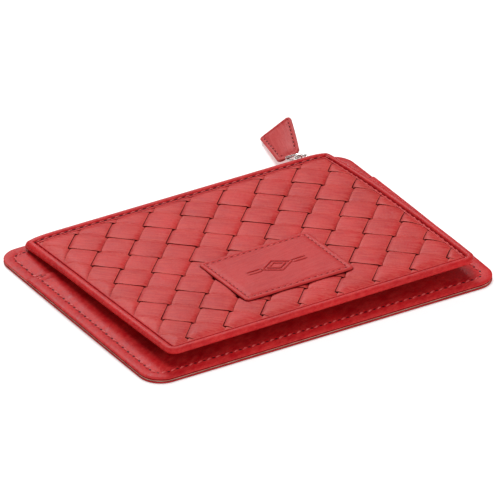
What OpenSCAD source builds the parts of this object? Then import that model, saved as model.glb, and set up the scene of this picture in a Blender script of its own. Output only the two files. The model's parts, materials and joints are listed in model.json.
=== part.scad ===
// Slim leather card holder: a stitched card panel with an open pocket, and a thin zip pouch with
// a woven front that is hinged to the panel along its back edge.
// +X runs along the zip, +Y to the hinged back edge, +Z up from the face that it lies on.

/* [Card panel] */
// Width of the card panel
base_w = 102; // [94:0.5:130]
// Depth of the card panel, front to hinged back
base_d = 77; // [70:0.5:100]
// Corner radius of the card panel
base_corner_r = 6; // [3:0.5:9]
// Thickness of the underside leather
underside_t = 0.6; // [0.5:0.05:1.2]
// Thickness of the reinforcement sheet
reinforcement_t = 0.2; // [0.15:0.05:0.8]
// Thickness of the slot panel behind the pocket
slot_panel_t = 0.35; // [0.25:0.05:1]
// Thickness of the pocket leather
pocket_t = 0.5; // [0.4:0.05:1.2]
// Distance from the back edge to the lip of the pocket
lip_setback = 15.8; // [14.5:0.1:22]
// Width of the sewn margin around the pocket
pocket_margin = 3.6; // [2.5:0.1:5]
// Height of the empty card space
card_gap = 0.2; // [0.1:0.02:0.3]

/* [Stitching] */
// Distance of the panel's stitch line from its edge
base_stitch_inset = 2.6; // [1.8:0.1:3.2]
// Pitch of the stitches
stitch_pitch = 2.6; // [2:0.1:4]
// Length of one stitch
stitch_len = 1.9; // [1.2:0.1:1.9]
// Width of the thread
thread_w = 0.4; // [0.2:0.05:0.6]
// Height of the thread above the leather
thread_h = 0.16; // [0.08:0.02:0.25]

/* [Zip pouch] */
// Width of the pouch, along the zip
pouch_w = 90; // [75:0.5:118]
// Depth of the pouch, front to zip
pouch_d = 72; // [60:0.5:90]
// Shift of the pouch to the right of the panel's centre
pouch_shift = 1.5; // [-3:0.5:3]
// Corner radius of the pouch
pouch_corner_r = 3; // [2:0.5:6]
// Angle at which the pouch stands open at rest
rest_tilt = 2.5; // [2:0.25:6]
// Distance of the hinge line from the panel's back edge
hinge_setback = 0.7; // [0.5:0.1:2.5]
// Thickness of the hinge strip's leather
hinge_t = 0.25; // [0.2:0.05:0.3]
// Depth of each half of the hinge strip
hinge_leaf_d = 13; // [10:0.5:13.5]
// Thickness of the pouch's back leather
back_panel_t = 0.4; // [0.3:0.05:1]
// Thickness of the lining cloth
lining_t = 0.15; // [0.1:0.05:0.3]
// Height of the space inside the empty pouch
pouch_gap = 0.5; // [0.5:0.05:1.5]
// Thickness of the sheet behind the woven strips
backing_t = 0.25; // [0.2:0.05:0.6]
// Thickness of the pouch's side wall
side_wall_t = 2; // [1.5:0.1:3]

/* [Woven front] */
// Pitch of the woven strips, across a strip
strip_pitch = 7.5; // [6:0.1:10]
// Space between neighbouring strips
strip_gap = 0.6; // [0.4:0.05:1]
// Thickness of a strip
strip_t = 0.28; // [0.2:0.01:0.6]
// Width of the border around the weave
border_w = 3.4; // [3:0.1:4]
// Radius of the rolled edge of the border
roll_r = 0.8; // [0.6:0.05:1.2]
// Height of the border's flat flange
flange_t = 0.4; // [0.3:0.05:0.8]

/* [Label patch] */
// Width of the label patch
patch_w = 31.5; // [24:0.5:40]
// Depth of the label patch
patch_d = 23.5; // [16:0.5:30]
// Thickness of the label patch
patch_t = 0.6; // [0.4:0.05:1.2]
// Distance from the pouch's front edge to the label patch
patch_front = 11.6; // [8:0.1:22]
// Distance of the patch's stitch line from its edge
patch_stitch_inset = 1.4; // [1:0.1:2.5]

/* [Zip] */
// Pitch of the zip teeth
tooth_pitch = 1.6; // [1.2:0.1:2.2]
// Width of one tooth
tooth_w = 0.7; // [0.5:0.05:0.75]
// Depth of a tooth
tooth_d = 1.1; // [0.8:0.05:1.3]
// Depth of the zip tape inside the pouch
tape_d = 6; // [4:0.5:8]
// Thickness of the zip tape
tape_t = 0.15; // [0.1:0.05:0.2]
// Length of the slider
slider_len = 7; // [5:0.5:9]
// Wall of the slider
slider_wall = 0.25; // [0.2:0.01:0.26]
// Clearance between the slider and the zip
slider_clear = 0.08; // [0.06:0.01:0.09]
// Distance from the pouch's right end to the slider's centre
slider_from_end = 7.7; // [7.5:0.1:20]

/* [Pull] */
// Wire diameter of the pull's link
link_wire = 0.6; // [0.4:0.05:0.7]
// Length of the link between its two end wires
link_len = 4; // [3.8:0.1:6]
// Half the height of the link, to the middle of its wire
link_half_h = 1.15; // [1.1:0.05:1.3]
// Angle by which the link turns from straight back
link_yaw = -45; // [-50:1:0]
// Length of the leather pull, from the link to its outer end
pull_len = 14.6; // [10:0.2:24]
// Width of the pull at its outer end
pull_w = 9.3; // [7:0.1:12]
// Width of the pull at its shoulder
shoulder_w = 6.2; // [4.5:0.1:6.6]
// Width of the pull's neck, around the link
neck_w = 3; // [2.6:0.1:3.2]
// Thickness of each of the pull's two leathers
pull_leather_t = 0.4; // [0.3:0.05:0.45]
// Roll of the pull about its own length
pull_roll = -14; // [-16:1:16]
// Angle by which the pull points to the right
pull_yaw = 17; // [0:1:25]
// Angle by which the pull rises from the link
pull_rise = 3; // [2:1:30]

/* [Hidden] */
$fn = 32;
leather = "#c43c3c";
leather_edge = "#a82c30";
thread = "#9c2226";
lining_cloth = "#7a2328";
metal = "silver";

// Levels of the card panel
reinforcement_z = underside_t;
slot_panel_z = reinforcement_z + reinforcement_t;
strip_top = slot_panel_z + slot_panel_t;
panel_top = strip_top + pocket_t;
lip_y = base_d / 2 - lip_setback;

// Hinge line, and levels of the pouch measured from it
hinge_clear = 0.12;
hinge_y = base_d / 2 - hinge_setback;
hinge_z = strip_top + hinge_t + hinge_clear;
back_panel_z = hinge_clear + hinge_t;
lining_z = back_panel_z + back_panel_t;
gap_z = lining_z + lining_t;
front_lining_z = gap_z + pouch_gap;
backing_z = front_lining_z + lining_t;
weave_z = backing_z + backing_t;
strip_clear = 0.02;
weave_h = 2 * strip_t + 2 * strip_clear;
weave_top = weave_z + weave_h;

// Outline of the pouch, measured from the hinge line
pouch_back = -0.8;
pouch_front = pouch_back - pouch_d;
pouch_left = pouch_shift - pouch_w / 2;
pouch_right = pouch_shift + pouch_w / 2;
pouch_mid_y = (pouch_back + pouch_front) / 2;
inner_left = pouch_left + side_wall_t;
inner_right = pouch_right - side_wall_t;

// Zip, measured from the hinge line
zip_mid_z = gap_z + pouch_gap / 2;
tooth_overlap = 0.2;
tooth_h = 0.55;
teeth_front = -1.5;
teeth_back = teeth_front - tooth_d;
teeth_low = zip_mid_z - tooth_h + tooth_overlap / 2;
teeth_high = zip_mid_z + tooth_h - tooth_overlap / 2;
slider_low = teeth_low - slider_clear - slider_wall;
slider_high = teeth_high + slider_clear + slider_wall;
slider_out = teeth_front + 2 * slider_clear + 2 * slider_wall;
slider_in = teeth_back - 2 * slider_clear - 2 * slider_wall;
zip_back = slider_in - 0.4;      // where the leathers and linings stop short of the slider
slider_x = pouch_right - slider_from_end;
stop_w = 1.2;
teeth_left = inner_left + stop_w;
teeth_right = slider_x + slider_len / 2;
tape_low_z = gap_z;
tape_high_z = front_lining_z - tape_t;

// Bridge and link, measured from the hinge line
bridge_h = 0.6;
bridge_bar = 0.4;
bridge_post = 0.5;
bridge_half = 1.75;
link_clear = 0.15;
link_axis_y = pouch_back + link_clear + link_wire / 2 + 0.05;
bridge_y = link_axis_y + link_wire / 2 + link_clear;
link_z = slider_high + 0.05;
post_h = 0.7;                    // height of the posts on the slider's outer face
link_bend_r = 0.45;
eye_r = 0.75;
neck_end = 1.2;                  // from the link's wire to the neck's inner end
shoulder_y = 2.2;
pull_stitch_inset = 0.9;

// ---------- shapes that repeat ----------

module rounded_plate(w, d, r, h) {
    linear_extrude(h) rounded_outline(w, d, r);
}

module rounded_outline(w, d, r) {
    union() {
        square([w - 2 * r, d], center = true);
        square([w, d - 2 * r], center = true);
        for (sx = [-1, 1], sy = [-1, 1])
            translate([sx * (w / 2 - r), sy * (d / 2 - r)]) circle(r);
    }
}

// One flat stitch that lies along X
module stitch(len, w) {
    translate([-len / 2, -w / 2, 0]) cube([len, w, thread_h]);
}

// A straight run of stitches from one point to another, with whole pitches
module stitch_run(from, to, pitch, len, w) {
    run = to - from;
    length = norm(run);
    count = max(1, floor(length / pitch));
    for (i = [0 : count - 1])
        translate(from + run * (i + 0.5) / count)
            rotate(atan2(run[1], run[0])) stitch(len, w);
}

// Stitches around a rectangle with rounded corners, one on each corner's middle
module stitch_loop(w, d, r, pitch, len, thread) {
    for (s = [-1, 1]) {
        stitch_run([-w / 2 + r, s * d / 2], [w / 2 - r, s * d / 2], pitch, len, thread);
        stitch_run([s * w / 2, -d / 2 + r], [s * w / 2, d / 2 - r], pitch, len, thread);
        for (t = [-1, 1])
            translate([s * (w / 2 - r), t * (d / 2 - r)])
                rotate(s * t > 0 ? (s > 0 ? 45 : 225) : (s > 0 ? -45 : 135))
                    translate([r, 0]) rotate(90) stitch(min(len, r), thread);
    }
}

// Places the pouch and what is on it from the hinge line, at its rest angle
module on_pouch() {
    translate([0, hinge_y, hinge_z]) rotate([-rest_tilt, 0, 0]) children();
}

module pouch_plate(inset, back_y, z, h) {
    depth = back_y - (pouch_front + inset);
    translate([pouch_left + inset, pouch_front + inset, z])
        cube([pouch_w - 2 * inset, depth, h]);
}

// ---------- card panel ----------

module underside_panel() {
    color(leather) rounded_plate(base_w, base_d, base_corner_r, underside_t);
}

module reinforcement_sheet() {
    inset = 0.2;
    color("tan") translate([0, 0, reinforcement_z])
        rounded_plate(base_w - 2 * inset, base_d - 2 * inset, base_corner_r - inset,
                      reinforcement_t);
}

module slot_panel() {
    color(leather) translate([0, 0, slot_panel_z])
        rounded_plate(base_w, base_d, base_corner_r, slot_panel_t);
}

// The pocket's leather, sewn down on three sides, with the card space under it
module pocket_panel() {
    space_w = base_w - 2 * pocket_margin;
    space_d = base_d - lip_setback - pocket_margin;
    color(leather) difference() {
        translate([0, 0, strip_top]) rounded_plate(base_w, base_d, base_corner_r, pocket_t);
        translate([-base_w, lip_y, strip_top - 1]) cube([2 * base_w, base_d, pocket_t + 2]);
        translate([-space_w / 2, lip_y - space_d, strip_top - 1])
            cube([space_w, space_d + 1, card_gap + 1]);
    }
}

module panel_stitching() {
    w = base_w - 2 * base_stitch_inset;
    d = base_d - 2 * base_stitch_inset;
    r = base_corner_r - base_stitch_inset;
    color(thread) {
        intersection() {
            translate([0, 0, panel_top]) stitch_loop(w, d, r, stitch_pitch, stitch_len, thread_w);
            translate([-base_w, -base_d, 0])
                cube([2 * base_w, base_d + lip_y - 2, panel_top + 1]);
        }
        intersection() {
            translate([0, 0, strip_top]) stitch_loop(w, d, r, stitch_pitch, stitch_len, thread_w);
            translate([-base_w, hinge_y - hinge_leaf_d, 0])
                difference() {
                    cube([2 * base_w, base_d, panel_top + 1]);
                    translate([base_w + pouch_left, -1, -1])
                        cube([pouch_w, base_d, panel_top + 3]);
                }
        }
    }
}

// A short double row of stitches that locks each end of the pocket's lip
module pocket_bar_tacks() {
    tack_len = 1.4;
    tack_rows = 2;
    color(thread)
        for (side = [-1, 1], row = [0 : tack_rows - 1])
            translate([side * (base_w / 2 - base_stitch_inset), lip_y - 0.6 - row * 0.7,
                       panel_top])
                stitch(tack_len, thread_w);
}

module hinge_strip_lower() {
    color(leather_edge)
        translate([pouch_left + side_wall_t, hinge_y - hinge_leaf_d, strip_top])
            cube([pouch_w - 2 * side_wall_t, hinge_leaf_d - hinge_clear, hinge_t]);
}

// ---------- pouch ----------

module hinge_strip_upper() {
    color(leather_edge) on_pouch()
        translate([pouch_left + side_wall_t, -hinge_leaf_d, hinge_clear])
            cube([pouch_w - 2 * side_wall_t, hinge_leaf_d + pouch_back, hinge_t]);
}

module pouch_outline_cut(back_y, z, h) {
    intersection() {
        translate([pouch_shift, pouch_mid_y, z])
            rounded_plate(pouch_w, pouch_d, pouch_corner_r, h);
        translate([pouch_left - 1, pouch_front - 1, z - 1])
            cube([pouch_w + 2, back_y - pouch_front + 1, h + 2]);
    }
}

module pouch_back_panel() {
    color(leather) on_pouch() pouch_outline_cut(zip_back, back_panel_z, back_panel_t);
}

module pouch_back_lining() {
    color(lining_cloth) on_pouch() pouch_plate(side_wall_t, zip_back, lining_z, lining_t);
}

module pouch_front_lining() {
    color(lining_cloth) on_pouch() pouch_plate(side_wall_t, zip_back, front_lining_z, lining_t);
}

module weave_backing() {
    color(lining_cloth) on_pouch() pouch_outline_cut(zip_back, backing_z, backing_t);
}

// The wall that closes the left, front and right sides, open towards the zip
module pouch_side_wall() {
    wall_z = lining_z;
    wall_h = backing_z - lining_z;
    color(leather_edge) on_pouch() difference() {
        translate([pouch_shift, pouch_mid_y, wall_z])
            rounded_plate(pouch_w, pouch_d, pouch_corner_r, wall_h);
        translate([inner_left, pouch_front + side_wall_t, wall_z - 1])
            cube([inner_right - inner_left, pouch_d, wall_h + 2]);
    }
}

// Rolled edge: straight rods along the sides and a quarter ring at each corner
module rolled_edge() {
    bend_r = pouch_corner_r - roll_r;
    half_w = pouch_w / 2 - pouch_corner_r;
    half_d = pouch_d / 2 - pouch_corner_r;
    for (s = [-1, 1]) {
        translate([-half_w, s * (pouch_d / 2 - roll_r), 0])
            rotate([0, 90, 0]) cylinder(r = roll_r, h = 2 * half_w);
        translate([s * (pouch_w / 2 - roll_r), -half_d, 0])
            rotate([-90, 0, 0]) cylinder(r = roll_r, h = 2 * half_d);
    }
    for (turn = [0 : 3]) {
        sx = turn == 0 || turn == 3 ? 1 : -1;
        sy = turn < 2 ? 1 : -1;
        translate([sx * half_w, sy * half_d, 0]) rotate(90 * turn)
            rotate_extrude(angle = 90) translate([bend_r, 0]) circle(roll_r);
    }
}

module pouch_border() {
    opening_w = pouch_w - 2 * border_w;
    opening_d = pouch_d - 2 * border_w;
    channel_z = slider_high + 0.15;
    color(leather) on_pouch() difference() {
        translate([pouch_shift, pouch_mid_y, 0]) union() {
            translate([0, 0, weave_z]) difference() {
                rounded_plate(pouch_w, pouch_d, pouch_corner_r, flange_t);
                translate([-opening_w / 2, -opening_d / 2, -1])
                    cube([opening_w, opening_d, flange_t + 2]);
            }
            intersection() {
                translate([0, 0, weave_z + flange_t - 0.2]) rolled_edge();
                translate([-pouch_w, -pouch_d, weave_z]) cube([2 * pouch_w, 2 * pouch_d, 9]);
            }
        }
        translate([inner_left, zip_back - 0.1, weave_z - 1])
            cube([inner_right - inner_left, 9, channel_z - weave_z + 1]);
    }
}

module border_stitching() {
    line_inset = 2 * roll_r + 0.7;
    w = pouch_w - 2 * line_inset;
    d = pouch_d - 2 * line_inset;
    color(thread) on_pouch()
        translate([pouch_shift, pouch_mid_y, weave_z + flange_t])
            stitch_loop(w, d, 1, stitch_pitch, stitch_len, thread_w);
}

// Side view of one woven strip: level over and under its crossings, and sloping in the spaces
function strip_level(i) = i % 2 == 0 ? strip_t + 2 * strip_clear : 0;
function strip_side(first, count, lift) = [
    for (i = [0 : count - 1], end = [0, 1])
        [first + (i + end) * strip_pitch + (end == 0 ? 1 : -1) * strip_gap / 2,
         strip_level(i + lift)]];
function strip_profile(first, count, lift) =
    let (low = strip_side(first, count, lift))
    concat(low, [for (i = [len(low) - 1 : -1 : 0]) low[i] + [0, strip_t]]);

// All strips of one direction, cut to the opening in the border
module weave_layer(angle, start_lift) {
    reach = (pouch_w + pouch_d) / 2 / sqrt(2);
    half = ceil(reach / strip_pitch);
    opening_w = pouch_w - 2 * border_w - 0.1;
    opening_d = pouch_d - 2 * border_w - 0.1;
    on_pouch() translate([pouch_shift, pouch_mid_y, weave_z])
        intersection() {
            translate([-opening_w / 2, -opening_d / 2, -1])
                cube([opening_w, opening_d, weave_h + 2]);
            rotate(angle) for (k = [-half : half - 1])
                translate([0, (k + 1) * strip_pitch - strip_gap / 2, 0]) rotate([90, 0, 0])
                    linear_extrude(strip_pitch - strip_gap)
                        polygon(strip_profile(-half * strip_pitch, 2 * half,
                                              k + half + start_lift));
        }
}

module weave_strips_left() {
    color(leather) weave_layer(45, 0);
}

module weave_strips_right() {
    color("#b43436") weave_layer(-45, 0);
}

module on_patch() {
    on_pouch() translate([pouch_shift, pouch_front + patch_front + patch_d / 2, weave_top])
        children();
}

module label_patch() {
    patch_corner_r = 1.2;
    color(leather) on_patch() rounded_plate(patch_w, patch_d, patch_corner_r, patch_t);
}

module patch_stitching() {
    fine_pitch = 2.2;
    fine_len = 1.6;
    color(thread) on_patch() translate([0, 0, patch_t])
        stitch_loop(patch_w - 2 * patch_stitch_inset, patch_d - 2 * patch_stitch_inset, 0.8,
                    fine_pitch, fine_len, thread_w);
}

// ---------- zip ----------

module zip_tape(z) {
    color(lining_cloth) on_pouch() translate([inner_left, teeth_back - tape_d, z])
        cube([inner_right - inner_left, tape_d, tape_t]);
}

module zip_tape_upper() zip_tape(tape_high_z);

module zip_tape_lower() zip_tape(tape_low_z);

module zip_teeth(z, offset) {
    count = floor((teeth_right - teeth_left) / tooth_pitch - 0.5);
    color(metal) on_pouch()
        for (i = [0 : count - 1])
            translate([teeth_left + offset + i * tooth_pitch, teeth_back, z])
                cube([tooth_w, tooth_d, tooth_h]);
}

module zip_teeth_upper() zip_teeth(teeth_high - tooth_h, tooth_pitch / 2);

module zip_teeth_lower() zip_teeth(teeth_low, 0);

module zip_stop(x) {
    color(metal) on_pouch() translate([x, teeth_back, teeth_low])
        cube([stop_w, tooth_d, teeth_high - teeth_low]);
}

module zip_top_stop() zip_stop(teeth_right + 0.3);

module zip_bottom_stop() zip_stop(inner_left);

// A channel that wraps both rows of teeth and leaves a slot behind them for the tapes
module slider_body() {
    height = slider_high - slider_low;
    tooth_space = slider_out - 2 * slider_wall - slider_in - 2 * slider_wall;
    slot_low = tape_low_z - slider_clear;
    slot_high = tape_high_z + tape_t + slider_clear;
    color(metal) on_pouch() difference() {
        translate([slider_x - slider_len / 2, slider_in, slider_low])
            cube([slider_len, slider_out - slider_in, height]);
        translate([slider_x - slider_len, slider_in + 2 * slider_wall, slider_low + slider_wall])
            cube([2 * slider_len, tooth_space, height - 2 * slider_wall]);
        translate([slider_x - slider_len, slider_in - 1, slot_low])
            cube([2 * slider_len, 2, slot_high - slot_low]);
    }
}

// The bridge on the slider's outer face that holds the link
module slider_bridge() {
    post_x = bridge_half - bridge_post / 2;
    color(metal) on_pouch() translate([slider_x, 0, 0]) union() {
        translate([-bridge_half, bridge_y, link_z - bridge_h / 2])
            cube([2 * bridge_half, bridge_bar, bridge_h]);
        for (s = [-1, 1])
            translate([s * post_x - bridge_post / 2, slider_out, slider_high - post_h])
                cube([bridge_post, bridge_y + bridge_bar - slider_out, post_h]);
    }
}

// Places a piece from the axis about which the link turns on the bridge
module on_bridge(yaw) {
    on_pouch() translate([slider_x, link_axis_y, link_z]) rotate([0, 0, -yaw]) children();
}

// A wire link: upright end wires, level sides, and a bend at each corner
module pull_link() {
    half_len = link_len / 2;
    r = link_wire / 2;
    color(metal) on_bridge(link_yaw) translate([0, half_len, 0]) {
        for (s = [-1, 1]) {
            translate([0, s * half_len, link_bend_r - link_half_h])
                cylinder(r = r, h = 2 * (link_half_h - link_bend_r));
            translate([0, link_bend_r - half_len, s * link_half_h])
                rotate([-90, 0, 0]) cylinder(r = r, h = link_len - 2 * link_bend_r);
            for (t = [-1, 1])
                translate([0, s * (half_len - link_bend_r), t * (link_half_h - link_bend_r)])
                    rotate([0, -90, 0]) rotate(s > 0 ? (t > 0 ? 0 : 90) : (t > 0 ? 270 : 180))
                        rotate_extrude(angle = 90) translate([link_bend_r, 0]) circle(r);
        }
    }
}

// Places the pull so that its eye sits around the outer end wire of the link
module on_pull() {
    on_bridge(link_yaw) translate([0, link_len, 0]) rotate([0, 0, link_yaw - pull_yaw])
        rotate([pull_rise, pull_roll, 0]) children();
}

module pull_outline() {
    slant = 0.4;
    difference() {
        polygon([[-neck_w / 2, -neck_end], [neck_w / 2, -neck_end], [neck_w / 2, 0.5],
                 [shoulder_w / 2, shoulder_y], [pull_w / 2, pull_len - slant],
                 [pull_w / 2 - 1, pull_len + slant], [-pull_w / 2, pull_len - slant],
                 [-shoulder_w / 2, shoulder_y], [-neck_w / 2, 0.5]]);
        circle(eye_r);
    }
}

module pull_leather(z) {
    color(leather) on_pull() translate([0, 0, z])
        linear_extrude(pull_leather_t) pull_outline();
}

module pull_front_leather() pull_leather(0);

module pull_back_leather() pull_leather(-pull_leather_t);

module pull_stitching() {
    pitch = 1.9;
    len = 1.3;
    color(thread) on_pull() translate([0, 0, pull_leather_t])
        for (s = [-1, 1])
            stitch_run([s * (shoulder_w / 2 - pull_stitch_inset), shoulder_y + 0.5],
                       [s * (pull_w / 2 - pull_stitch_inset), pull_len - 1.5],
                       pitch, len, 0.3);
}

underside_panel();
reinforcement_sheet();
slot_panel();
pocket_panel();
panel_stitching();
pocket_bar_tacks();
hinge_strip_lower();
hinge_strip_upper();
pouch_back_panel();
pouch_back_lining();
pouch_front_lining();
weave_backing();
weave_strips_left();
weave_strips_right();
pouch_border();
pouch_side_wall();
border_stitching();
label_patch();
patch_stitching();
zip_tape_upper();
zip_tape_lower();
zip_teeth_upper();
zip_teeth_lower();
zip_top_stop();
zip_bottom_stop();
slider_body();
slider_bridge();
pull_link();
pull_front_leather();
pull_back_leather();
pull_stitching();
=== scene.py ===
# Leather card holder with a hinged zip pouch: pieces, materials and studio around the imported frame.
# Lengths in this script are millimetres until a mesh is made, which is in metres.
import json
import math
import random

import bmesh
import bpy
from mathutils import Matrix, Vector


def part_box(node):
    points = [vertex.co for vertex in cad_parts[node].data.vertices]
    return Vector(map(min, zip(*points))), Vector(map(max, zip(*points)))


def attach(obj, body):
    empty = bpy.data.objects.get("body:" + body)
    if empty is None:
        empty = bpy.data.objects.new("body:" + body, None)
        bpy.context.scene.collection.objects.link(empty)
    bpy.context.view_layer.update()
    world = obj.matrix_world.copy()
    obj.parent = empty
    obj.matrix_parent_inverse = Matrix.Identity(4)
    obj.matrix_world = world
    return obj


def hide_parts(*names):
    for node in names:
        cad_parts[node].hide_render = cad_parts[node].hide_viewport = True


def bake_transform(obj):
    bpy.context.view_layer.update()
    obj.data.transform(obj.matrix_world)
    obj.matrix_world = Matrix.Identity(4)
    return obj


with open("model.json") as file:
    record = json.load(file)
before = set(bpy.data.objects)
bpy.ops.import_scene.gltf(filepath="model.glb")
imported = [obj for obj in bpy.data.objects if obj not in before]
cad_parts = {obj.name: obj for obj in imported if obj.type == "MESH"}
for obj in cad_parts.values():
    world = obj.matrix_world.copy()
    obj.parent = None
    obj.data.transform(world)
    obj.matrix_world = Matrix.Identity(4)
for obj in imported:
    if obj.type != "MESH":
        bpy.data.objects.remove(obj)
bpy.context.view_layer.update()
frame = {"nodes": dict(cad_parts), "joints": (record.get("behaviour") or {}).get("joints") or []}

MM = 0.001
random.seed(7)

# ---------- places from the frame ----------


def box(node):
    """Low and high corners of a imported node, in millimetres."""
    low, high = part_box(node)
    return low / MM, high / MM


def joint_place(name):
    joint = next(j for j in frame["joints"] if j["name"] == name)
    return Vector(joint["pos_m"]) / MM


HINGE = joint_place("pouch_flap")
BRIDGE_AXIS = joint_place("link_swing")
EYE = joint_place("pull_swivel")
under_low, under_high = box("underside_panel")
slot_low, slot_high = box("slot_panel")
pocket_low, pocket_high = box("pocket_panel")
BASE = (under_low.x, under_high.x, under_low.y, under_high.y)
BASE_R = 6.0             # corner radius of the card panel
LIP_Y = pocket_high.y
POUCH_X0, POUCH_X1 = box("pouch_border")[0].x, box("pouch_border")[1].x
POUCH_D = 72.0           # depth of the pouch
POUCH_BACK = -0.8        # back edge of the pouch, from the hinge line
POUCH = (POUCH_X0, POUCH_X1, POUCH_BACK - POUCH_D, POUCH_BACK)
TILT = math.radians(2.5)   # the pouch stands open at rest
POUCH_MID = Vector(((POUCH_X0 + POUCH_X1) / 2, POUCH_BACK - POUCH_D / 2, 0))
BACK_Z, INNER_Z = 0.37, 0.77      # faces of the pouch's back leather, from the hinge line
WEAVE_Z, BORDER_Z = 1.7, 2.5      # seat of the weave and top of the border, from the hinge line
BORDER_W = 2.9           # width of the border around the weave
STITCH_INSET = 3.0       # of the panel's seam, from its edge
SMALLEST_R = 0.15        # of a round corner, however far it is set in

# ---------- soft shapes of the two members ----------

BASE_ARCH, BASE_BULGE = 0.15, 0.25
POUCH_ARCH, POUCH_BULGE = 0.35, 0.6
MIDDLE_SAG, LEFT_SAG = 0.2, 0.32         # the pouch sinks in its middle and to its front left
CORNER_DROOP, CORNER_REACH = 1.1, 25.0   # the pouch's back corners hang down
DROOP_EASE, DROOP_EDGE = 1.5, 20         # how the droop fades forwards and away from the sides


def bow(value, low, high):
    """1 in the middle of a span and 0 at its ends."""
    t = (2 * value - low - high) / (high - low)
    return max(0.0, 1 - t * t)


def base_shape(p):
    """A point of the card panel, which bows up and out a little between its front and back."""
    rise = bow(p.y, BASE[2], BASE[3])
    across = p.x / BASE[1]
    return Vector((p.x + BASE_BULGE * rise * across, p.y, p.z + BASE_ARCH * rise))


def pouch_shape(p):
    """A point of the pouch, given from the hinge line, bowed and turned to its rest angle."""
    rise = bow(p.y, POUCH[2], POUCH[3])
    across = (p.x - POUCH_MID.x) / (POUCH[1] - POUCH_MID.x)
    forward = (POUCH[3] - p.y) / POUCH_D
    sag = MIDDLE_SAG * bow(p.x, POUCH[0], POUCH[1]) * rise + LEFT_SAG * forward * (1 - across)
    near_back = max(0.0, 1 - (POUCH[3] - p.y) / CORNER_REACH) ** DROOP_EASE
    droop = CORNER_DROOP * min(1.0, abs(across)) ** DROOP_EDGE * near_back
    q = Vector((p.x + POUCH_BULGE * rise * across, p.y, p.z + POUCH_ARCH * rise - sag - droop))
    return HINGE + Matrix.Rotation(-TILT, 3, "X") @ q


def as_is(p):
    return p


# ---------- mesh helpers ----------


def make(name, bm, material, body, shape=as_is, angle=50):
    """Shapes the points, turns them into metres and makes the piece."""
    for v in bm.verts:
        v.co = shape(v.co) * MM
    bmesh.ops.recalc_face_normals(bm, faces=bm.faces)
    mesh = bpy.data.meshes.new(name)
    bm.to_mesh(mesh)
    bm.free()
    piece = bpy.data.objects.new(name, mesh)
    bpy.context.scene.collection.objects.link(piece)
    mesh.materials.append(material)
    mesh.shade_smooth()
    mesh.set_sharp_from_angle(angle=math.radians(angle))
    if body:
        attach(piece, body)
    return piece


def outline(corners, radii, inset, per_side=26, per_corner=9):
    """Points around a convex polygon with round corners, set in from its edge."""
    count = len(corners)
    lines = []
    for i in range(count):
        a, b = Vector(corners[i]), Vector(corners[(i + 1) % count])
        d = (b - a).normalized()
        n = Vector((-d.y, d.x))
        lines.append((a + n * inset, d, n))
    points = []
    arcs = []
    for i in range(count):
        p0, d0, n0 = lines[i - 1]
        p1, d1, n1 = lines[i]
        cross = d0.x * d1.y - d0.y * d1.x
        t = ((p1.x - p0.x) * d1.y - (p1.y - p0.y) * d1.x) / cross
        corner = p0 + d0 * t
        turn = math.acos(max(-1, min(1, d0.dot(d1))))
        r = max(radii[i] - inset, SMALLEST_R)
        back = r * math.tan(turn / 2)
        centre = corner - d0 * back + n0 * r
        start = math.atan2(-n0.y, -n0.x)
        arcs.append([centre + r * Vector((math.cos(start + turn * k / per_corner),
                                          math.sin(start + turn * k / per_corner)))
                     for k in range(per_corner + 1)])
    for i in range(count):
        a, b = arcs[i][-1], arcs[(i + 1) % count][0]
        points += arcs[i]
        points += [a.lerp(b, k / per_side) for k in range(1, per_side)]
    return points


def rect(limits):
    """Corners of a rectangle, counterclockwise, from its limits along X and Y."""
    x0, x1, y0, y1 = limits
    return [(x0, y0), (x1, y0), (x1, y1), (x0, y1)]


def skin_rings(bm, rings, closed=False):
    """Faces between rings of points with the same count."""
    verts = [[bm.verts.new(p) for p in ring] for ring in rings]
    pairs = list(zip(verts, verts[1:]))
    if closed:
        pairs.append((verts[-1], verts[0]))
    count = len(verts[0])
    for low, high in pairs:
        for k in range(count):
            j = (k + 1) % count
            bm.faces.new((low[k], low[j], high[j], high[k]))
    return verts


def plate(corners, radii, section, closed=False, per_side=26):
    """A plate, or a ring, from a section of (inset, height) points."""
    bm = bmesh.new()
    rings = [[Vector((p.x, p.y, z)) for p in outline(corners, radii, inset, per_side)]
             for inset, z in section]
    verts = skin_rings(bm, rings, closed)
    if not closed:
        for ring in (verts[0], verts[-1]):
            fill = bmesh.ops.triangle_fill(
                bm, use_beauty=True,
                edges=[bm.edges.get((ring[k], ring[k - 1])) for k in range(len(ring))])
            if not fill["geom"]:
                bm.faces.new(ring)
    return bm


def sheet_section(z0, z1, reach, groove=None, edge=0.22):
    """Section of a leather plate: flat below, a rounded painted edge, and a sewn ditch on top."""
    section = [(reach, z0)] + [(i, z0) for i in (14, 6, 2) if i < reach]
    section += [(0.2, z0), (0.05, z0 + 0.07), (0, (z0 + z1) / 2)]
    section += [(0.05, z1 - edge), (0.2, z1 - edge * 0.45), (0.55, z1 - edge * 0.08), (1.0, z1)]
    if groove:
        section += [(groove - 0.75, z1), (groove - 0.3, z1 - 0.12), (groove, z1 - 0.17),
                    (groove + 0.3, z1 - 0.12), (groove + 0.8, z1)]
    section += [(i, z1) for i in (6, 10, 15, 20, 25, 30) if i < reach]
    return section + [(reach, z1)]


def rod(bm, centre, along, up, length, width, height, rings=6):
    """One thread stitch: a rounded rod whose ends dip into the leather."""
    sides, blunt, end_dip = 8, 0.06, 0.9
    side = along.cross(up)
    rows = []
    for i in range(rings + 1):
        t = -1 + 2 * i / rings
        swell = math.sqrt(max(blunt, 1 - t * t))
        dip = -height * end_dip * t * t
        rows.append([centre + along * (t * length / 2) + up * dip
                     + side * (math.cos(2 * math.pi * k / sides) * width / 2 * swell)
                     + up * (math.sin(2 * math.pi * k / sides) * height * swell)
                     for k in range(sides)])
    verts = skin_rings(bm, rows)
    bm.faces.new(verts[0])
    bm.faces.new(reversed(verts[-1]))


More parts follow.
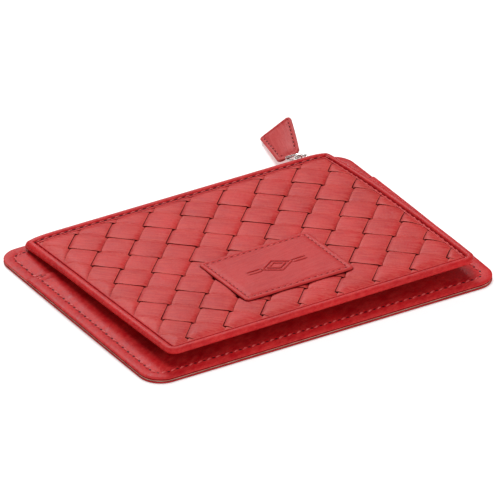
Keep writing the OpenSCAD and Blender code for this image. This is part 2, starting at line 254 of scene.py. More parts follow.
def spaced(points, pitch, closed=True):
    """Places at an even pitch along a line of points: (place, direction)."""
    line = points + points[:1] if closed else points
    lengths = [(b - a).length for a, b in zip(line, line[1:])]
    total = sum(lengths)
    count = max(1, round(total / pitch))
    found = []
    for n in range(count):
        goal = (n + 0.5) * total / count
        run = 0.0
        for a, b, step in zip(line, line[1:], lengths):
            if run + step >= goal:
                found.append((a.lerp(b, (goal - run) / step), (b - a).normalized()))
                break
            run += step
    return found


def stitches(name, places, z, body, shape, length=1.75, width=0.42, height=0.16, slant=0.1):
    """Thread stitches, and dark rods of painted shade for the needle holes between them, as two
    pieces.
    """
    hole_gap, hole_length, hole_depth = 0.42, 0.95, 0.07
    thread_lift, hole_sink = 0.03, 0.02
    threads, hole_shade_rods = bmesh.new(), bmesh.new()
    up = Vector((0, 0, 1))
    for place, along in places:
        along3 = Vector((along.x, along.y, 0))
        turned = Matrix.Rotation(slant, 3, "Z") @ along3
        centre = Vector((place.x, place.y, z(place)))
        rod(threads, centre + up * thread_lift, turned, up, length, width, height)
        # painted shade: a dark rod in each needle hole
        rod(hole_shade_rods, centre + along3 * (length * 0.5 + hole_gap) - up * hole_sink, along3, up,
            hole_length, width * 1.15, hole_depth, rings=4)
    make(name, threads, THREAD, body, shape)
    make(name + "_hole_shade", hole_shade_rods, HOLE_SHADE, body, shape)


# ---------- materials ----------


class Nodes:
    """A short way to write one material's nodes."""

    def __init__(self, name):
        self.material = bpy.data.materials.new(name)
        self.material.use_nodes = True
        self.tree = self.material.node_tree
        self.shader = self.tree.nodes["Principled BSDF"]
        self.place = self.add("ShaderNodeTexCoord").outputs["Object"]

    def add(self, kind, **values):
        node = self.tree.nodes.new(kind)
        for key, value in values.items():
            setattr(node, key, value)
        return node

    def join(self, source, target):
        self.tree.links.new(source, target)

    def noise(self, size, stretch=(1, 1, 1), turn=0.0, detail=3.0, rough=0.55):
        """Noise whose features are about size millimetres, stretched along a turned X."""
        mapping = self.add("ShaderNodeMapping", vector_type="TEXTURE")
        mapping.inputs["Rotation"].default_value = (0, 0, turn)
        mapping.inputs["Scale"].default_value = tuple(size * MM * s for s in stretch)
        self.join(self.place, mapping.inputs["Vector"])
        tex = self.add("ShaderNodeTexNoise")
        tex.inputs["Scale"].default_value = 1
        tex.inputs["Detail"].default_value = detail
        tex.inputs["Roughness"].default_value = rough
        self.join(mapping.outputs["Vector"], tex.inputs["Vector"])
        return tex.outputs["Fac"]

    def cells(self, size):
        """Distance to the middles of cells about size millimetres wide."""
        tex = self.add("ShaderNodeTexVoronoi", feature="SMOOTH_F1")
        tex.inputs["Scale"].default_value = 1 / (size * MM)
        tex.inputs["Smoothness"].default_value = 0.35
        self.join(self.place, tex.inputs["Vector"])
        return tex.outputs["Distance"]

    def ramp(self, value, low, high, out_low=0.0, out_high=1.0):
        """The value moved from the span low to high onto the span out_low to out_high."""
        node = self.add("ShaderNodeMapRange")
        for key, number in zip(("From Min", "From Max", "To Min", "To Max"),
                               (low, high, out_low, out_high)):
            node.inputs[key].default_value = number
        self.join(value, node.inputs["Value"])
        return node.outputs["Result"]

    def mix(self, factor, a, b):
        """Colour a where the factor is 0 and b where it is 1."""
        node = self.add("ShaderNodeMix", data_type="RGBA")
        self.join(factor, node.inputs[0])
        for socket, value in ((node.inputs[6], a), (node.inputs[7], b)):
            if isinstance(value, tuple):
                socket.default_value = (*value, 1)
            else:
                self.join(value, socket)
        return node.outputs[2]

    def bump(self, height, depth, below=None):
        """Bump whose full height is depth millimetres, laid over the one below it."""
        node = self.add("ShaderNodeBump")
        node.inputs["Strength"].default_value = 1
        node.inputs["Distance"].default_value = depth * MM
        self.join(height, node.inputs["Height"])
        if below:
            self.join(below, node.inputs["Normal"])
        return node.outputs["Normal"]

    def painted_shade_mask(self, reach):
        """Ambient occlusion mask for painted shade: 0 in a seam or a crease and 1 on open leather,
        looking reach millimetres around.
        """
        node = self.add("ShaderNodeAmbientOcclusion", samples=6)
        node.inputs["Distance"].default_value = reach * MM
        return self.ramp(node.outputs["AO"], 0.42, 0.9)

    def flatness(self, low, high):
        """0 on an upright wall and 1 on a level face of the piece."""
        split = self.add("ShaderNodeSeparateXYZ")
        self.join(self.tree.nodes["Texture Coordinate"].outputs["Normal"], split.inputs[0])
        return self.ramp(split.outputs["Z"], low, high)

    def surface(self, color=None, roughness=None, normal=None, **fixed):
        """Joins the varying inputs, sets the fixed ones and gives the material."""
        for key, source in (("Base Color", color), ("Roughness", roughness), ("Normal", normal)):
            if source:
                self.join(source, self.shader.inputs[key])
        for key, value in fixed.items():
            self.shader.inputs[key.replace("_", " ")].default_value = value
        return self.material


PAINTED_SHADE_RED = (0.16, 0.001, 0.006)      # painted shade colour for seams and creases


def leather(name, dark, mid, light, streak=None, grain=0.45, grain_depth=0.03, walls_painted_and_shaded=False,
            deep=PAINTED_SHADE_RED):
    """Dyed leather: pores, creases, uneven dye, worn paler edges, painted shade in seams and creases,
    and a soft finish.
    """
    n = Nodes(name)
    blotch = n.ramp(n.noise(9, detail=4), 0.3, 0.7)
    color = n.mix(blotch, dark, mid)
    if streak is not None:
        lines = n.noise(0.5, (11, 1, 1), streak, 4, 0.7)
    else:
        lines = n.noise(1.1, (2.2, 1, 1), 0.5, 4, 0.6)
    color = n.mix(n.ramp(lines, 0.38, 0.75, 0.0, 0.8), color, light)
    pores = n.cells(grain)
    color = n.mix(n.ramp(pores, 0.5, 0.95, 0.0, 0.35), color, dark)
    edge = n.ramp(n.add("ShaderNodeNewGeometry").outputs["Pointiness"], 0.51, 0.6, 0.0, 0.55)
    color = n.mix(edge, color, light)
    # painted shade: seams and creases are darkened towards the deep colour by ambient occlusion
    color = n.mix(n.painted_shade_mask(0.9), deep, color)
    if walls_painted_and_shaded:                                   # the strips' cut edges are edge-painted darker, and the same slope mask darkens the steep dives between strips as painted shade
        color = n.mix(n.flatness(0.3, 0.8), deep, color)
    fold = n.bump(n.noise(3.5, detail=2), 0.09)
    creased = n.bump(lines, 0.08, fold)
    grained = n.bump(n.ramp(pores, 0, 1, 1, 0), grain_depth, creased)
    rough = n.ramp(lines, 0.3, 0.7, 0.40, 0.56)
    return n.surface(color, rough, grained, Specular_IOR_Level=0.14)


def edge_paint(name, low, high):
    """Painted edge of a leather: layered fibres under a worn coat."""
    n = Nodes(name)
    layers = n.noise(0.5, (6, 6, 0.35), 0, 3)
    color = n.mix(n.ramp(layers, 0.35, 0.65), low, high)
    return n.surface(color, n.ramp(layers, 0.2, 0.8, 0.5, 0.75), n.bump(layers, 0.05),
                     Specular_IOR_Level=0.15)


def thread(name, low, high):
    """Waxed twisted thread."""
    n = Nodes(name)
    twist = n.noise(0.22, (1, 3, 1), 0.7, 2)
    color = n.mix(n.ramp(twist, 0.35, 0.65), low, high)
    return n.surface(color, n.ramp(twist, 0.3, 0.7, 0.4, 0.6), n.bump(twist, 0.06))


def cloth(name, low, high, size=0.3):
    """Plain woven cloth: fine crossing ribs."""
    n = Nodes(name)
    warp = n.noise(size, (1, 14, 1), 0, 2)
    weft = n.noise(size, (14, 1, 1), 0, 2)
    both = n.add("ShaderNodeMath", operation="MAXIMUM")
    n.join(warp, both.inputs[0])
    n.join(weft, both.inputs[1])
    color = n.mix(n.ramp(both.outputs[0], 0.45, 0.7), low, high)
    return n.surface(color, n.ramp(both.outputs[0], 0.3, 0.8, 0.8, 0.95),
                     n.bump(both.outputs[0], 0.08))


def metal(name, tint, shade):
    """Plated metal with fine handling scratches."""
    n = Nodes(name)
    scratch = n.noise(0.4, (8, 0.5, 1), 0.3, 4, 0.7)
    color = n.mix(n.ramp(scratch, 0.4, 0.75), tint, shade)
    return n.surface(color, n.ramp(scratch, 0.3, 0.75, 0.16, 0.36), n.bump(scratch, 0.008),
                     Metallic=1.0)


RED_DARK, RED_MID, RED_LIGHT = (0.44, 0.004, 0.010), (0.62, 0.010, 0.015), (0.72, 0.050, 0.045)
LEATHER = leather("smooth_red_leather", RED_DARK, RED_MID, RED_LIGHT)
# the border's painted shade in its creases is a lighter red
BORDER = leather("border_red_leather", RED_DARK, RED_MID, RED_LIGHT, deep=(0.30, 0.003, 0.008))
# the woven strips' steep walls get edge paint and painted shade
WOVEN = leather("woven_red_leather", (0.46, 0.006, 0.010), (0.63, 0.016, 0.020),
                (0.74, 0.12, 0.095), streak=-math.pi / 4, grain=0.5, walls_painted_and_shaded=True)
PATCH = leather("label_red_leather", (0.48, 0.010, 0.014), (0.60, 0.022, 0.025),
                (0.68, 0.09, 0.078), streak=0.15, grain=0.35, grain_depth=0.02)
PULL = leather("pull_red_leather", (0.44, 0.024, 0.028), (0.56, 0.050, 0.052),
               (0.66, 0.11, 0.10), streak=1.3, grain=0.4, grain_depth=0.02)
CORE = edge_paint("raw_leather_edge", (0.34, 0.20, 0.14), (0.55, 0.42, 0.33))
PAINT = edge_paint("painted_edge", (0.30, 0.008, 0.012), (0.46, 0.02, 0.024))
THREAD = thread("red_thread", (0.60, 0.025, 0.030), (0.85, 0.13, 0.12))
# painted shade: the colour of the dark rods that stand for the shade inside the needle holes
HOLE_SHADE = edge_paint("needle_hole_shade", (0.05, 0.0, 0.003), (0.12, 0.002, 0.006))
LINING = cloth("dark_red_lining", (0.09, 0.004, 0.008), (0.2, 0.015, 0.02))
TAPE = cloth("red_zip_tape", (0.22, 0.008, 0.014), (0.4, 0.03, 0.035), 0.2)
STEEL = metal("nickel_plate", (0.90, 0.89, 0.87), (0.70, 0.69, 0.67))


# ---------- card panel ----------

BASE_CORNERS = rect(BASE)
ALL_BASE_R = [BASE_R] * 4
REACH = 34.0             # how far a plate's rings run in before its middle is closed
LIP_LIFT, LIP_REACH = 0.15, 9.0   # the pocket's lip stands up, over this depth
LIP_ENDS = 4.0           # where the lip is sewn down, from the panel's sides
POCKET_MARGIN = 3.6      # sewn margin around the card space
CARD_GAP = 0.2           # height of the empty card space
SEAM_PITCH = 2.6         # of the panel's stitches
TACK_PITCH = 0.5         # of a bar tack's stitches


def card_panel():
    """The panel's two leathers and the pale sheet between them."""
    low = plate(BASE_CORNERS, ALL_BASE_R,
                sheet_section(under_low.z, under_high.z, REACH, edge=0.15))
    piece = make("underside_leather", low, LEATHER, "root", base_shape)
    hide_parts("underside_panel")
    core_z = box("reinforcement_sheet")
    core = plate(BASE_CORNERS, ALL_BASE_R,
                 [(REACH, core_z[0].z), (0.3, core_z[0].z), (0.13, core_z[0].z + 0.03),
                  (0.13, core_z[1].z - 0.03), (0.3, core_z[1].z), (REACH, core_z[1].z)])
    piece = make("pale_core_sheet", core, CORE, "root", base_shape)
    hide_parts("reinforcement_sheet")
    upper = plate(BASE_CORNERS, ALL_BASE_R,
                  sheet_section(slot_low.z, slot_high.z, REACH, STITCH_INSET, edge=0.12))
    piece = make("slot_leather", upper, LEATHER, "root", base_shape)
    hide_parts("slot_panel")


def pocket():
    """The pocket's leather, whose lip stands up a little over the card space."""
    limits = (BASE[0], BASE[1], BASE[2], LIP_Y)
    z0, z1 = pocket_low.z, pocket_high.z
    bm = plate(rect(limits), [BASE_R, BASE_R, 0.5, 0.5],
               [(28, z0 + CARD_GAP), (14, z0 + CARD_GAP), (5, z0 + CARD_GAP),
                (POCKET_MARGIN, z0), (0.2, z0),
                (0.05, z0 + 0.08), (0, (z0 + z1) / 2), (0.06, z1 - 0.22), (0.22, z1 - 0.1),
                (0.55, z1 - 0.02), (1.0, z1), (2.2, z1), (2.7, z1 - 0.12), (3.0, z1 - 0.16),
                (3.3, z1 - 0.12), (3.8, z1), (6, z1), (10, z1), (15, z1), (20, z1), (28, z1)])

    def lifted(p):
        near_lip = max(0.0, 1 - (LIP_Y - p.y) / LIP_REACH) ** 2
        lift = LIP_LIFT * near_lip * bow(p.x, BASE[0] + LIP_ENDS, BASE[1] - LIP_ENDS)
        return base_shape(Vector((p.x, p.y, p.z + lift)))

    piece = make("pocket_leather", bm, LEATHER, "root", lifted)
    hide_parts("pocket_panel")


def panel_seam():
    """The seam around the panel, seen from above and below, and the lip's bar tacks."""
    line = outline(BASE_CORNERS, ALL_BASE_R, STITCH_INSET)
    places = spaced(line, SEAM_PITCH)

    def height(p):
        """Just under the leather's face, which is the pocket's in front of the lip."""
        return (pocket_high.z if p.y < LIP_Y else slot_high.z) - 0.1

    stitches("panel_threads", places, height, "root", base_shape, width=0.5, height=0.2,
             slant=0.36)
    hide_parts("panel_stitching")
    stitches("underside_threads", places, lambda p: under_low.z + 0.02, "root", base_shape,
             height=0.07)
    tacks = []
    for side in (-1, 1):
        for row in range(3):
            place = Vector((side * (BASE[1] - STITCH_INSET + 0.2 - 0.9 * (row % 2)),
                            LIP_Y - 0.35 - TACK_PITCH * row))
            tacks.append((place, Vector((1, 0))))
    stitches("lip_bar_tacks", tacks, lambda p: pocket_high.z + 0.02, "root", base_shape,
             length=1.5, width=0.34)
    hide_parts("pocket_bar_tacks")


# ---------- hinge strip ----------


def hinge_strip():
    """One folded leather strip, sewn to the panel and to the pouch's back."""
    low, high = box("hinge_strip_lower")
    thick = high.z - low.z
    leaf = HINGE.y - low.y
    middle = HINGE.z
    radius = middle - low.z - thick / 2
    steps, turns, across = 10, 8, 30
    line = [Vector((0, low.y + leaf * i / steps, low.z + thick / 2)) for i in range(steps)]
    line += [Vector((0, HINGE.y + radius * math.sin(a), middle - radius * math.cos(a)))
             for a in (math.pi * k / turns for k in range(turns + 1))]
    tilt = math.tan(TILT)
    line += [Vector((0, HINGE.y - leaf * i / steps,
                     middle + radius + tilt * leaf * i / steps)) for i in range(1, steps + 1)]
    bm = bmesh.new()
    grid = []
    for side in (-1, 1):
        rows = []
        for i, p in enumerate(line):
            a, b = line[max(i - 1, 0)], line[min(i + 1, len(line) - 1)]
            d = (b - a).normalized()
            n = Vector((0, d.z, -d.y)) * side * thick / 2
            rows.append([bm.verts.new(Vector((low.x + (high.x - low.x) * k / across, 0, 0))
                                      + p + n) for k in range(across + 1)])
        grid.append(rows)
    count = len(line)
    for rows in grid:
        for i in range(count - 1):
            for k in range(across):
                bm.faces.new((rows[i][k], rows[i][k + 1], rows[i + 1][k + 1], rows[i + 1][k]))
    for i in range(count - 1):
        for k in (0, across):
            bm.faces.new((grid[0][i][k], grid[0][i + 1][k], grid[1][i + 1][k], grid[1][i][k]))
    for i in (0, count - 1):
        for k in range(across):
            bm.faces.new((grid[0][i][k], grid[0][i][k + 1], grid[1][i][k + 1], grid[1][i][k]))
    piece = make("hinge_strip", bm, LEATHER, None)
    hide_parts("hinge_strip_lower", "hinge_strip_upper")
    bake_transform(piece)


# ---------- pouch ----------

POUCH_CORNERS = rect(POUCH)
POUCH_RADII = [3.0, 3.0, 1.3, 1.3]
LAYER_RADII = [2.2, 2.2, 0.6, 0.6]
LINING_INSET = 2.2
BORDER_SEAM, BORDER_PITCH = 2.2, 2.3   # the border's seam, from its edge, and its stitches
WALL_INSET = 1.3         # the pouch's lower layers stand in from its rolled border
WALL_BACK = -1.5         # the ends of the side wall, beside the zip
PANEL_BACK = -3.66       # where the layers stop short of the zip
ZIP_FRONT = -6.0         # the side wall is open behind this line
ZIP_HALF = 42.3          # half the width of that opening
SLIDER_TOP = 2.07        # clear height over the slider's way along the zip
SLIDER_FRONT = -3.6      # front and half width of that way
SLIDER_HALF = 42.6


def inner_limits(inset, back=PANEL_BACK):
    """Limits of a layer of the pouch, set in from its outline and stopped at its back line."""
    return (POUCH[0] + inset, POUCH[1] - inset, POUCH[2] + inset, back)


def pouch_body():
    """The pouch's back leather, side wall, weave backing and two linings."""
    lower = inner_limits(WALL_INSET)
    bm = plate(rect(lower), LAYER_RADII, sheet_section(BACK_Z, INNER_Z, 30, edge=0.15))
    piece = make("pouch_back_leather", bm, LEATHER, "pouch", pouch_shape)
    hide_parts("pouch_back_panel")
    wall = plate(rect(inner_limits(WALL_INSET + 0.15, WALL_BACK)), [2, 2, 0.4, 0.4],
                 [(1.9, INNER_Z), (0.3, INNER_Z), (0, INNER_Z + 0.15), (0.12, INNER_Z + 0.3),
                  (0, INNER_Z + 0.45), (0.3, WEAVE_Z - 0.2), (1.9, WEAVE_Z - 0.2)], closed=True)
    for v in wall.verts:
        v.co.y = min(v.co.y, WALL_BACK)
    back = [f for f in wall.faces
            if abs(f.calc_center_median().x - POUCH_MID.x) < ZIP_HALF
            and f.calc_center_median().y > ZIP_FRONT]
    bmesh.ops.delete(wall, geom=back, context="FACES")
    edges = [e for e in wall.edges if e.is_boundary]
    bmesh.ops.holes_fill(wall, edges=edges)
    piece = make("pouch_side_wall_leather", wall, PAINT, "pouch", pouch_shape)
    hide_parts("pouch_side_wall")
    low, high = WEAVE_Z - 0.18, WEAVE_Z - 0.10
    backing = plate(rect(lower), LAYER_RADII,
                    [(30, low), (0.1, low), (0, low + 0.02), (0, high - 0.02), (0.1, high),
                     (2, high), (6, high), (12, high), (20, high), (30, high)])
    piece = make("weave_backing_sheet", backing, LINING, "pouch", pouch_shape)
    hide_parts("weave_backing")
    for node, low, high in (("pouch_back_lining", INNER_Z + 0.02, INNER_Z + 0.13),
                            ("pouch_front_lining", WEAVE_Z - 0.27, WEAVE_Z - 0.19)):
        bm = plate(rect(inner_limits(LINING_INSET)), [0.6] * 4,
                   [(28, low), (6, low), (0, low), (0, high), (6, high), (12, high),
                    (20, high), (28, high)])
        piece = make(node + "_cloth", bm, LINING, "pouch", pouch_shape)
        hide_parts(node)


def border():
    """Leather rolled over the pouch's edge, with a sewn ditch beside the weave."""
    top = BORDER_Z
    section = [(BORDER_W, WEAVE_Z + 0.15), (BORDER_W, WEAVE_Z - 0.05), (1.6, WEAVE_Z - 0.15),
               (0.8, WEAVE_Z - 0.72), (0.35, WEAVE_Z - 0.72), (0.06, WEAVE_Z - 0.45),
               (0, WEAVE_Z - 0.05), (0.03, top - 0.62), (0.16, top - 0.35), (0.42, top - 0.13),
               (0.8, top - 0.03), (1.2, top), (1.55, top - 0.06), (1.85, top - 0.2),
               (2.0, top - 0.5), (2.12, top - 0.78), (2.3, top - 0.8), (2.42, top - 0.5),
               (2.65, top - 0.36), (BORDER_W, top - 0.44)]
    bm = plate(POUCH_CORNERS, POUCH_RADII, section, closed=True, per_side=48)
    for v in bm.verts:                        # clears the slider's way along the zip
        if v.co.y > SLIDER_FRONT and abs(v.co.x - POUCH_MID.x) < SLIDER_HALF:
            v.co.z = max(v.co.z, SLIDER_TOP)
    piece = make("rolled_border", bm, BORDER, "pouch", pouch_shape)
    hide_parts("pouch_border")
    line = outline(POUCH_CORNERS, POUCH_RADII, BORDER_SEAM)

    def height(p):
        """The ditch's floor, which is higher over the slider's way."""
        return SLIDER_TOP + 0.16 if p.y > SLIDER_FRONT else top - 0.76

    stitches("border_threads", spaced(line, BORDER_PITCH), height, "pouch", pouch_shape,
             length=1.5, width=0.3, height=0.1)
    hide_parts("border_stitching")


# ---------- woven front ----------

PITCH = 7.5              # of the strips, across a strip
STRIP_HALF = 3.46        # half the width of a strip
STRIP_THICK = 0.40
SWING = 0.34             # how far a strip's middle goes over and under
CROWN = 0.10             # how much lower a strip's edges are than its middle
STEEPNESS = 0.38         # the smaller, the steeper a strip goes between over and under
WEAVE_MID = WEAVE_Z + 0.3   # the height about which the strips swing
WEAVE_REACH = 66         # half a strip's length, before the weave is cut to the pouch
WEAVE_OFFSET = (-4.81, 2.8)       # of the pattern, from the pouch's middle
WEAVE_STRETCH = (1.024, 1.075)    # of the pattern, along and across the pouch
HELD_DEPTH = 2.2         # the border presses the strips flat over this depth


def over_under(t):
    """-1 under to 1 over a crossing, level on each and steep between them."""
    wave = math.sin(math.pi * t)
    return math.copysign(abs(wave) ** STEEPNESS, wave)


def strip(bm, turn, index, narrow, bulge, lift):
    """One strip of the weave along its own X, turned about Z."""
    per_cell = 14
    cells = math.ceil(WEAVE_REACH / PITCH)
    centre = (index + 0.5) * PITCH
    turned = Matrix.Rotation(turn, 3, "Z")
    across = [-1, -0.93, -0.75, -0.4, 0, 0.4, 0.75, 0.93, 1]
    drop = [0.30, 0.12, 0.03, 0, 0, 0, 0.03, 0.12, 0.30]
    tired = random.uniform(-0.03, 0.03)
    rings = []
    for i in range(-cells * per_cell, cells * per_cell + 1):
        t = i / per_cell
        level = over_under(t + index)
        half = (STRIP_HALF - narrow) * (1 + 0.022 * level + 0.006 * math.sin(1.7 * t + index))
        spread = bulge * math.sin(math.pi * (t + index))
        along = t * PITCH
        mid = WEAVE_MID + SWING * level + tired * level
        lean = 0.05 * math.sin(0.9 * t + 2.1 * index)
        upper, lower = [], []
        for u, fall in zip(across, drop):
            z = mid - CROWN * u * u - fall * 0.35 + (lean - lift * level) * u
            out = centre + (half + spread) * u
            upper.append(Vector((along, out, z + STRIP_THICK / 2)))
            lower.append(Vector((along, out - 0.05 * u, z - STRIP_THICK / 2)))
        ring = upper + lower[::-1]
        rings.append([turned @ p for p in ring])
    verts = skin_rings(bm, rings)
    bm.faces.new(verts[0])
    bm.faces.new(list(reversed(verts[-1])))


def weave(name, turn, narrow, bulge, lift, node):
    """All strips of one direction, cut to the pouch and pressed down at the border."""
    bm = bmesh.new()
    rows = math.ceil(WEAVE_REACH / PITCH)
    for index in range(-rows, rows):
        strip(bm, turn, index, narrow, bulge, lift)
    for v in bm.verts:
        v.co = POUCH_MID + Vector((v.co.x * WEAVE_STRETCH[0] + WEAVE_OFFSET[0],
                                   v.co.y * WEAVE_STRETCH[1] + WEAVE_OFFSET[1], v.co.z))
    inset = BORDER_W - 0.35
    planes = [((POUCH[0] + inset, 0, 0), (-1, 0, 0)), ((POUCH[1] - inset, 0, 0), (1, 0, 0)),
              ((0, POUCH[2] + inset, 0), (0, -1, 0)), ((0, POUCH[3] - inset, 0), (0, 1, 0))]
    for place, normal in planes:
        bmesh.ops.bisect_plane(bm, geom=bm.verts[:] + bm.edges[:] + bm.faces[:], dist=1e-4,
                               plane_co=place, plane_no=normal, clear_outer=True)
        bmesh.ops.holes_fill(bm, edges=[e for e in bm.edges if e.is_boundary])

    def settled(p):
        """The strips are pressed flat where the border holds them."""
        edge = min(p.x - POUCH[0], POUCH[1] - p.x, p.y - POUCH[2], POUCH[3] - p.y) - inset
        hold = max(0.0, 1 - edge / HELD_DEPTH)
        low = WEAVE_MID - 0.2
        q = Vector((p.x, p.y, p.z + (low + (p.z - WEAVE_MID) * 0.25 - p.z) * hold))
        return pouch_shape(q)

    piece = make(name, bm, WOVEN, "pouch", settled, angle=60)
    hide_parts(node)


def woven_front():
    """The two directions of strip, which pass over and under each other."""
    weave("woven_strips_back_right", math.pi / 4, 0.2, 0.05, 0.0, "weave_strips_left")
    weave("woven_strips_front_right", -math.pi / 4, 0.0, 0.5, 0.08, "weave_strips_right")


# ---------- label patch ----------


def label():
    """The sewn label with its pressed ornament."""
    low, high = box("label_patch")
    centre = Vector(((low.x + high.x) / 2, 0, 0))
    across, deep, thick = 31.5, 23.5, 0.6
    front = POUCH[2] + 11.6
    limits = (centre.x - across / 2, centre.x + across / 2, front, front + deep)
    z0 = WEAVE_MID + SWING + STRIP_THICK / 2 - 0.1
    top = z0 + thick
    section = [(11, z0), (5, z0), (0.25, z0), (0.04, z0 + 0.12), (0, z0 + 0.3),
               (0.07, top - 0.2), (0.25, top - 0.06), (0.6, top), (0.95, top),
               (1.2, top - 0.11), (1.4, top - 0.15), (1.6, top - 0.11), (1.9, top),
               (3, top + 0.02), (5, top + 0.04), (8, top + 0.05), (11, top + 0.05)]
    piece = make("label_leather", plate(rect(limits), [1.3] * 4, section), PATCH, "pouch",
                 pouch_shape)
    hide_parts("label_patch")
    line = outline(rect(limits), [1.3] * 4, 1.4)
    stitches("label_threads", spaced(line, 1.75), lambda p: top - 0.12, "pouch", pouch_shape,
             length=1.15, width=0.28, height=0.1)
    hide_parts("patch_stitching")
    emblem(Vector((centre.x, front + deep / 2, top + 0.10)))


def ridge(bm, points, width, height, closed=False):
    """A low rounded line pressed up out of the leather."""
    sides = 7
    count = len(points)
    rings = []
    for i, p in enumerate(points):
        a = points[i - 1] if closed or i else p
        b = points[(i + 1) % count] if closed or i < count - 1 else p
        d = (b - a).normalized()
        n = Vector((-d.y, d.x, 0))
        end = 1 if closed else min(1.0, 0.25 + 0.5 * min(i, count - 1 - i))
        rings.append([p + n * (math.cos(math.pi * k / sides) * width / 2 * end)
                      + Vector((0, 0, math.sin(math.pi * k / sides) * height * end - 0.03))
                      for k in range(sides + 1)])
    verts = skin_rings(bm, rings, closed)
    if not closed:
        bm.faces.new(verts[0])
        bm.faces.new(list(reversed(verts[-1])))


def emblem(centre):
    """A plain ornament: two nested lozenges between two pairs of bars."""
    bm = bmesh.new()
    for half_w, half_d in ((4.2, 2.9), (2.4, 1.6)):
        corners = [Vector((half_w, 0, 0)), Vector((0, half_d, 0)), Vector((-half_w, 0, 0)),
                   Vector((0, -half_d, 0))]
        points = []
        for a, b in zip(corners, corners[1:] + corners[:1]):
            points += [centre + a.lerp(b, k / 8) for k in range(8)]
        ridge(bm, points, 0.7, 0.24, closed=True)
    for side in (-1, 1):
        for row in (-0.6, 0.6):
            points = [centre + Vector((side * (5.0 + 4.2 * k / 10 - abs(row)), row, 0))
                      for k in range(11)]
            ridge(bm, points, 0.6, 0.22)
    make("label_emblem", bm, PATCH, "pouch", pouch_shape)


# ---------- zip, slider and pull ----------


def zip_and_slider():
    """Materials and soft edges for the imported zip, its stops and its slider."""
    finishes = {"zip_tape_upper": TAPE, "zip_tape_lower": TAPE, "zip_teeth_upper": STEEL,
                "zip_teeth_lower": STEEL, "zip_top_stop": STEEL, "zip_bottom_stop": STEEL,
                "slider_body": STEEL, "slider_bridge": STEEL}
    rounded = {"zip_teeth_upper": 0.12, "zip_teeth_lower": 0.12, "zip_top_stop": 0.15,
               "zip_bottom_stop": 0.15, "slider_body": 0.1, "slider_bridge": 0.12}
    for node, material in finishes.items():
        part = frame["nodes"][node]
        part.data.materials.clear()
        part.data.materials.append(material)
        if node in rounded:
            bevel = part.modifiers.new("soft_edges", "BEVEL")
            bevel.width = rounded[node] * MM
            bevel.segments = 3
            bevel.angle_limit = math.radians(40)


def link():
    """The wire link, which wraps the bridge's bar and dips into the pull's leather."""
    reach = EYE - BRIDGE_AXIS
    along, up = reach.normalized(), Vector((0, 0, 1))
    side = along.cross(up)
    low, high, wire, bend, level, dip = -1.1, 0.64, 0.26, 0.4, 1.3, 1.0
    path = outline(rect((0, reach.length, low, high)), [bend] * 4, 0, 8, 5)
    bm = bmesh.new()
    rings = []
    for i, p in enumerate(path):
        d = (path[(i + 1) % len(path)] - path[i - 1]).normalized()
        out = along * d.y - up * d.x
        drop = dip * max(0.0, (p.x - level) / (reach.length - level))
        drop *= (p.y - low) / (high - low)
        centre = BRIDGE_AXIS + along * p.x + up * (p.y - drop)
        rings.append([centre + out * (wire * math.cos(math.tau * k / 10))
                      + side * (wire * math.sin(math.tau * k / 10)) for k in range(10)])
    skin_rings(bm, rings, closed=True)
    piece = make("wire_link", bm, STEEL, "link")
    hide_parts("pull_link")


def pull():
    """The leather pull: two leathers sewn together, which twist from the link to the corner."""
    length, near_half, far_half, half_thick = 15.3, 3.1, 4.9, 0.42
    near_roll, far_roll = 19, 35              # degrees about the pull's length
    rise, bend = 0.45, 0.2                    # of its far end and of its middle
    start = EYE + Vector((0.75, -0.18, -0.5))
    yaw = math.radians(-17.5)
    corners = [(-near_half, -0.2), (near_half - 1.2, -0.2), (near_half, 1.2), (far_half, length),
               (-far_half, length - 0.4)]
    radii = [1.2, 0.8, 0.8, 1.3, 0.9]

    def twisted(p):
        t = max(0.0, min(1.0, p.y / length))
        roll = math.radians(near_roll + (far_roll - near_roll) * t)
        curl = bend * math.sin(math.pi * t)
        x = p.x * math.cos(roll) - p.z * math.sin(roll)
        z = p.x * math.sin(roll) + p.z * math.cos(roll)
        q = Matrix.Rotation(yaw, 3, "Z") @ Vector((x, p.y, z + curl + rise * t))
        return start + q

    for name, low, high, node in (
            ("pull_face_leather", 0.02, half_thick, "pull_front_leather"),
            ("pull_reverse_leather", -half_thick, -0.02, "pull_back_leather")):
        outer = high if high > 0 else low
        inner = low if high > 0 else high
        step = (outer - inner) / 4
        section = [(1.4, inner), (0.15, inner), (0.03, inner + step * 0.6), (0, inner + step * 2),
                   (0.06, outer - step * 0.9), (0.2, outer - step * 0.3), (0.45, outer),
                   (0.7, outer), (0.85, outer - step), (1.0, outer - step * 1.3),
                   (1.15, outer - step), (1.4, outer)]
        bm = plate(corners, radii, section, per_side=18)
        piece = make(name, bm, PULL, "pull", twisted)
        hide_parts(node)
    sides = []
    for s in (-1, 1):
        a = Vector((s * (near_half - 1.0), 1.3))
        b = Vector((s * (far_half - 1.0), length - 1.1))
        sides += spaced([a, b], 1.55, closed=False)
    stitches("pull_threads", sides, lambda p: half_thick - 0.07, "pull", twisted, length=1.0,
             width=0.28, height=0.09)
    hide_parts("pull_stitching")


# ---------- studio ----------


def floor():
    """A pale paper floor just below the panel."""
    bm = bmesh.new()
    bmesh.ops.create_grid(bm, x_segments=1, y_segments=1, size=1500)
    paper = Nodes("white_paper")
    fibre = paper.noise(2.0, detail=4)
    white = paper.mix(paper.ramp(fibre, 0.3, 0.7), (0.90, 0.90, 0.90), (0.93, 0.93, 0.93))
    material = paper.surface(white, paper.ramp(fibre, 0.3, 0.7, 0.8, 0.95),
                             Emission_Color=(1, 1, 1, 1), Emission_Strength=0.4)
    for v in bm.verts:
        v.co = Vector((v.co.x, v.co.y, -0.05)) * MM
    mesh = bpy.data.meshes.new("floor")
    bm.to_mesh(mesh)
    bm.free()
    mesh.materials.append(material)
    ground = bpy.data.objects.new("floor", mesh)
    bpy.context.scene.collection.objects.link(ground)


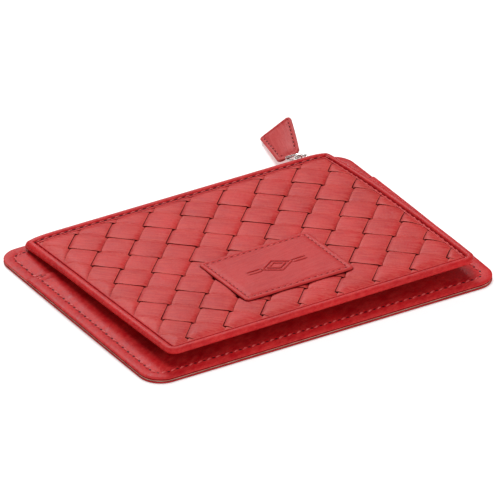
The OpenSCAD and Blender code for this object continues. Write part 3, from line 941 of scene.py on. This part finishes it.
def lamp(name, place, size, power):
    """A soft area light that faces the object and stays out of the picture."""
    light = bpy.data.lights.new(name, "AREA")
    light.shape = "RECTANGLE"
    light.size, light.size_y = size
    light.energy = power
    lamp_object = bpy.data.objects.new(name, light)
    lamp_object.location = place
    turn = (-Vector(place)).to_track_quat("-Z", "Y")
    lamp_object.rotation_euler = turn.to_euler()
    lamp_object.visible_camera = False
    bpy.context.scene.collection.objects.link(lamp_object)


VIEW_AZIMUTH, VIEW_ELEVATION = math.radians(-31.25), math.radians(29.4)


def studio():
    """Floor, soft white lights, and a long-lens camera."""
    floor()
    world = bpy.data.worlds.new("soft_white")
    world.use_nodes = True
    world.node_tree.nodes["Background"].inputs["Color"].default_value = (1, 1, 1, 1)
    world.node_tree.nodes["Background"].inputs["Strength"].default_value = 0.22
    scene = bpy.context.scene
    scene.world = world
    scene.view_settings.view_transform = "Standard"
    scene.view_settings.look = "None"
    lamp("back_softbox", (0.25, 0.8, 0.6), (0.35, 0.2), 4.6)
    lamp("top_softbox", (-0.05, 0.1, 1.0), (0.4, 0.4), 3.6)
    lamp("left_fill", (-1.0, -0.45, 0.5), (0.5, 0.4), 1.2)
    lamp("front_fill", (0.1, -1.0, 0.45), (0.6, 0.4), 2.9)
    camera = bpy.data.objects.new("camera", bpy.data.cameras.new("camera"))
    camera.data.sensor_width = 36
    camera.data.lens = 1200
    view_width = 0.1255                       # metres across the frame at the object
    distance = view_width * camera.data.lens / camera.data.sensor_width
    a, e = VIEW_AZIMUTH, VIEW_ELEVATION
    back = Vector((math.sin(a) * math.cos(e), -math.cos(a) * math.cos(e), math.sin(e)))
    right = Vector((math.cos(a), math.sin(a), 0))
    aim = right * 0.00058 + back.cross(right) * 0.0052
    camera.location = aim + back * distance
    camera.rotation_mode = "QUATERNION"
    camera.rotation_quaternion = (-back).to_track_quat("-Z", "Y")
    camera.data.clip_start, camera.data.clip_end = 0.01, 20
    bpy.context.scene.collection.objects.link(camera)
    scene.camera = camera


card_panel()
pocket()
panel_seam()
hinge_strip()
pouch_body()
border()
woven_front()
label()
zip_and_slider()
link()
pull()
studio()
